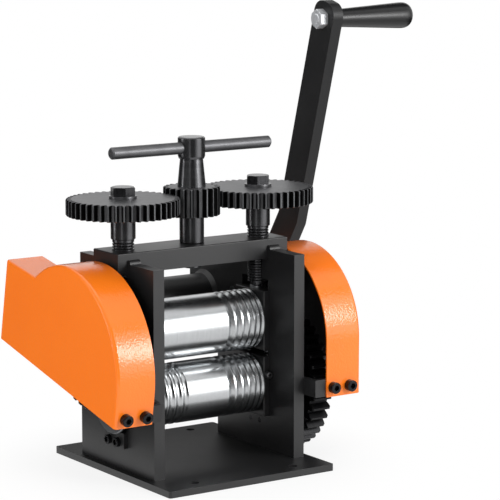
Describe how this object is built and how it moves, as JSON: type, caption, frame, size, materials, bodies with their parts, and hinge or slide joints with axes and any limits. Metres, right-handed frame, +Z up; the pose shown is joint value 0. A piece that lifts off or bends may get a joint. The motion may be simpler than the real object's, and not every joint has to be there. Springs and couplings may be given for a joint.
{
  "type": "jewellers rolling mill",
  "caption": "Hand-cranked bench rolling mill with plain and grooved rolls, geared gap adjustment and a crank-driven reduction gear train.",
  "frame": {"origin": "centre of the base plate's underside", "axes": "+X along the rolls to the crank side, +Y to the back where the crank shaft is, +Z up"},
  "size_m": [0.3118, 0.1838, 0.3374],
  "materials": {
    "frame_paint": "black satin paint",
    "cover_paint": "orange powder coat",
    "black_steel": "blackened steel",
    "dark_bar": "gunmetal steel",
    "roll_steel": "ground and polished",
    "machined_steel": "machined",
    "zinc_plate": "bright zinc plated",
    "bronze": "turned",
    "grip_plastic": "moulded satin"
  },
  "bodies": {
    "frame": {"base_plate": "frame_paint", "left_cheek": "frame_paint", "right_cheek": "frame_paint", "crossbar": "frame_paint", "shaft_tube": "frame_paint", "frame_welds": "frame_paint", "base_screws": "black_steel", "shaft_bushes": "bronze", "right_lower_block": "frame_paint", "left_lower_block": "frame_paint", "lower_bushes": "bronze", "lower_keepers": "frame_paint", "keeper_screws": "black_steel", "lower_block_screws": "black_steel", "lift_springs": "machined_steel", "idler_stud": "machined_steel", "right_cover": "cover_paint", "left_cover": "cover_paint", "right_cover_brackets": "frame_paint", "left_cover_brackets": "frame_paint", "cover_screws": "black_steel"},
    "upper_blocks": {"right_upper_block": "frame_paint", "left_upper_block": "frame_paint", "thrust_pads": "machined_steel"},
    "upper_bush_pair": {"upper_bushes": "bronze"},
    "upper_roll_set": {"upper_roll": "roll_steel", "upper_roll_gear": "black_steel", "upper_roll_key": "machined_steel", "upper_roll_circlips": "black_steel"},
    "lower_roll_set": {"lower_roll": "roll_steel", "lower_roll_gear": "black_steel", "lower_roll_key": "machined_steel", "lower_roll_circlips": "black_steel", "lower_roll_collar": "machined_steel"},
    "idler": {"idler_gear": "black_steel", "idler_bush": "bronze"},
    "crank": {"drive_shaft": "machined_steel", "right_drive_pinion": "black_steel", "left_drive_pinion": "black_steel", "pinion_keys": "machined_steel", "set_screws": "black_steel", "crank_arm": "frame_paint", "crank_bolt": "zinc_plate", "crank_washer": "zinc_plate", "grip_stud": "zinc_plate", "grip_nut": "zinc_plate"},
    "grip": {"crank_grip": "grip_plastic"},
    "adjuster": {"adjuster_spindle": "black_steel", "adjuster_pinion": "black_steel", "adjuster_bar": "dark_bar", "spindle_circlip": "black_steel"},
    "right_screw": {"right_adjusting_screw": "black_steel", "right_adjusting_gear": "black_steel", "right_gear_washer": "black_steel", "right_gear_bolt": "black_steel"},
    "left_screw": {"left_adjusting_screw": "black_steel", "left_adjusting_gear": "black_steel", "left_gear_washer": "black_steel", "left_gear_bolt": "black_steel"}
  },
  "joints": [
    {"name": "crank_turn", "type": "hinge", "parent": "frame", "child": "crank", "pos_m": [0, 0.0698, 0.11], "axis": [1, 0, 0], "continuous": true},
    {"name": "grip_spin", "type": "hinge", "parent": "crank", "child": "grip", "pos_m": [0.14, 0.00754, 0.32361], "axis": [1, 0, 0], "continuous": true},
    {"name": "idler_turn", "type": "hinge", "parent": "frame", "child": "idler", "pos_m": [0, 0.03051, 0.1175], "axis": [1, 0, 0], "continuous": true},
    {"name": "lower_roll_turn", "type": "hinge", "parent": "frame", "child": "lower_roll_set", "pos_m": [0, 0, 0.0545], "axis": [1, 0, 0], "continuous": true},
    {"name": "upper_bush_turn", "type": "hinge", "parent": "upper_blocks", "child": "upper_bush_pair", "pos_m": [0, 0, 0.103], "axis": [1, 0, 0], "range_deg": [-1, 4]},
    {"name": "upper_roll_turn", "type": "hinge", "parent": "upper_bush_pair", "child": "upper_roll_set", "pos_m": [0, 0, 0.103], "axis": [1, 0, 0], "continuous": true},
    {"name": "adjuster_turn", "type": "hinge", "parent": "frame", "child": "adjuster", "pos_m": [0, 0, 0.165], "axis": [0, 0, 1], "range_deg": [-295, 1260]},
    {"name": "roll_gap", "type": "slide", "parent": "frame", "child": "upper_blocks", "axis": [0, 0, 1], "range_m": [-0.00342, 0.0008], "deforming": ["lift_springs"]},
    {"name": "right_screw_turn", "type": "hinge", "parent": "upper_blocks", "child": "right_screw", "pos_m": [0.05862, 0, 0.15], "axis": [0, 0, 1], "range_deg": [-620, 145]},
    {"name": "left_screw_turn", "type": "hinge", "parent": "upper_blocks", "child": "left_screw", "pos_m": [-0.05862, 0, 0.15], "axis": [0, 0, 1], "range_deg": [-620, 145]}
  ],
  "couplings": [
    {"joint": "idler_turn", "follows": "crank_turn", "ratio": -1},
    {"joint": "lower_roll_turn", "follows": "crank_turn", "ratio": 0.4},
    {"joint": "upper_roll_turn", "follows": "crank_turn", "ratio": -0.4},
    {"joint": "upper_bush_turn", "follows": "roll_gap", "rad_per_m": -19.858},
    {"joint": "adjuster_turn", "follows": "roll_gap", "rad_per_m": -6426},
    {"joint": "right_screw_turn", "follows": "roll_gap", "rad_per_m": 3141.6},
    {"joint": "left_screw_turn", "follows": "roll_gap", "rad_per_m": 3141.6}
  ]
}
